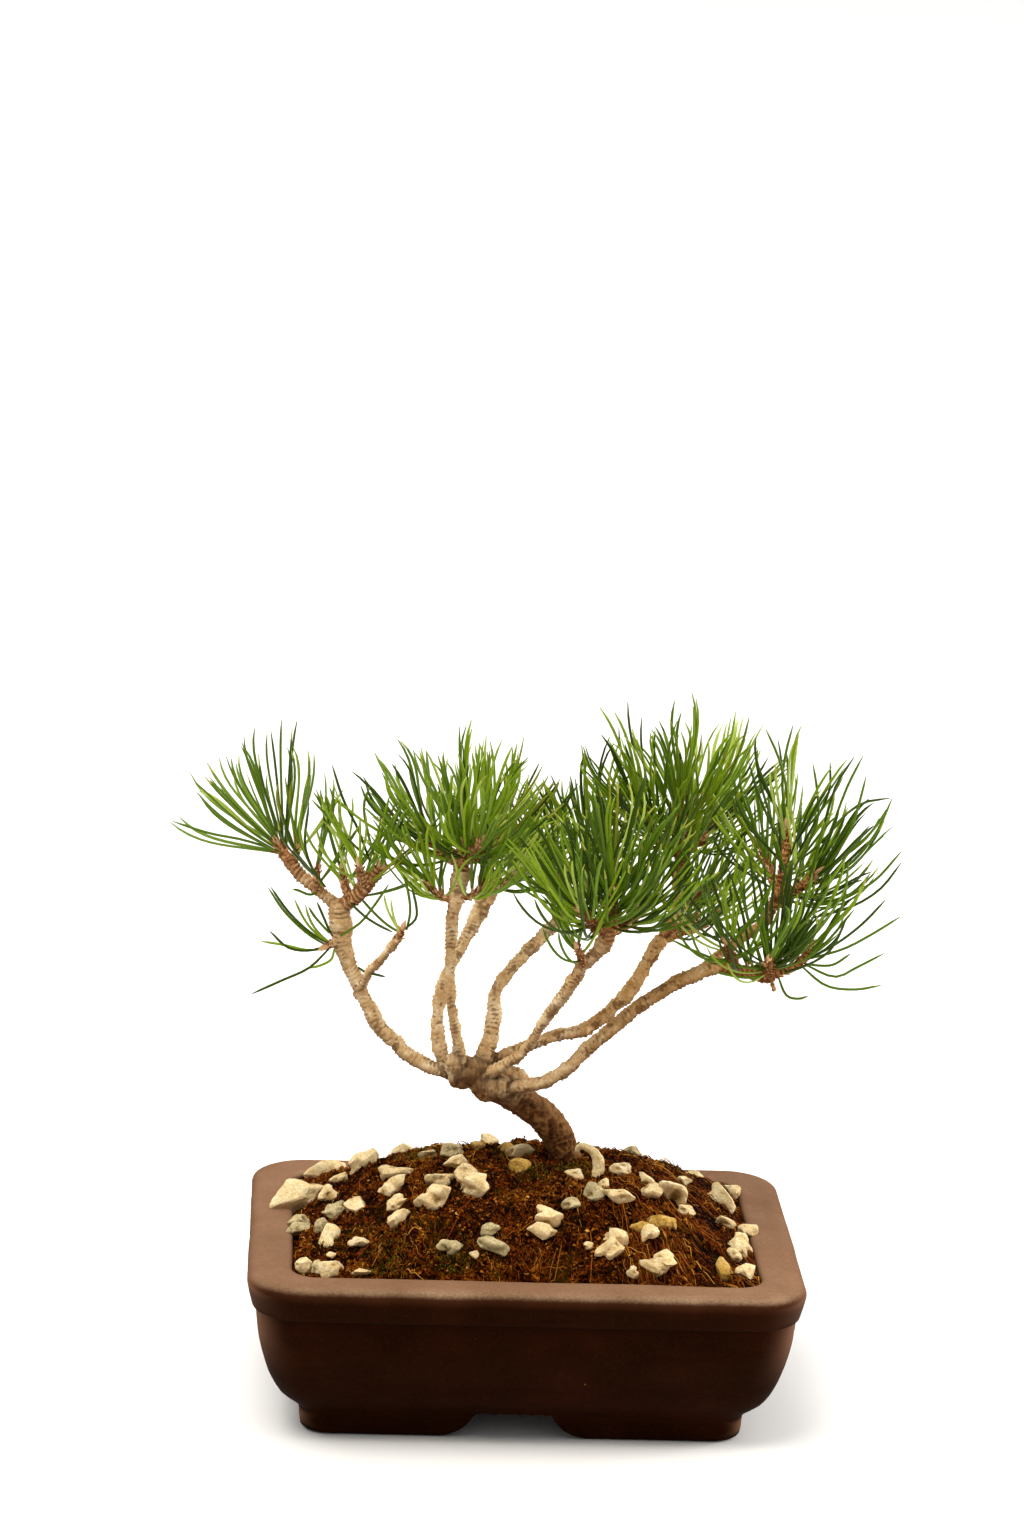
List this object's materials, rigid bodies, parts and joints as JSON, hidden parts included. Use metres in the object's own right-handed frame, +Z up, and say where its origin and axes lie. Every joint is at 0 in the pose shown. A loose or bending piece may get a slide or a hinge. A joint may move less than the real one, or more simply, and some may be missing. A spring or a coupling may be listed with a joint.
{
  "type": "potted pine bonsai tree",
  "caption": "Small pine bonsai with a leaning trunk, spreading bare boughs and tufted needles, in a rectangular clay pot of soil and stones.",
  "frame": {"origin": "middle of the pot's footprint, on the plane its feet stand on", "axes": "+Z up, +X along the pot's long side to the viewer's right, -Y toward the front view"},
  "size_m": [0.2721, 0.15, 0.2657],
  "materials": {
    "clay": "matte unglazed clay",
    "soil": "rough fibrous soil",
    "bark": "rough bark",
    "needles": "satin needles",
    "stone": "rough pale stone"
  },
  "bodies": {
    "root": {"pot": "clay", "soil": "soil", "trunk": "bark", "bough_far_left_lower": "bark", "bough_far_left_upper": "bark", "bough_far_left_tip": "bark", "twig_far_left": "bark", "bough_left_back": "bark", "bough_left_front": "bark", "bough_centre_back": "bark", "bough_centre_front": "bark", "bough_right_back": "bark", "bough_right_back_tip": "bark", "bough_right_front": "bark", "bough_right_front_rise": "bark", "needles_far_left": "needles", "needles_left_inner": "needles", "needles_far_left_base": "needles", "needles_left_twig": "needles", "needles_left_spur": "needles", "needles_left_front": "needles", "needles_left_back": "needles", "needles_centre_back": "needles", "needles_centre_front": "needles", "needles_centre_spur": "needles", "needles_top": "needles", "needles_right_fork": "needles", "needles_right_low": "needles", "needles_right_high": "needles", "stone_01": "stone", "stone_02": "stone", "stone_03": "stone", "stone_04": "stone", "stone_05": "stone", "stone_06": "stone", "stone_07": "stone", "stone_08": "stone", "stone_09": "stone", "stone_10": "stone", "stone_11": "stone", "stone_12": "stone", "stone_13": "stone", "stone_14": "stone", "stone_15": "stone", "stone_16": "stone", "stone_17": "stone", "stone_18": "stone", "stone_19": "stone", "stone_20": "stone", "stone_21": "stone", "stone_22": "stone", "stone_23": "stone", "stone_24": "stone", "stone_25": "stone", "stone_26": "stone"}
  },
  "joints": []
}
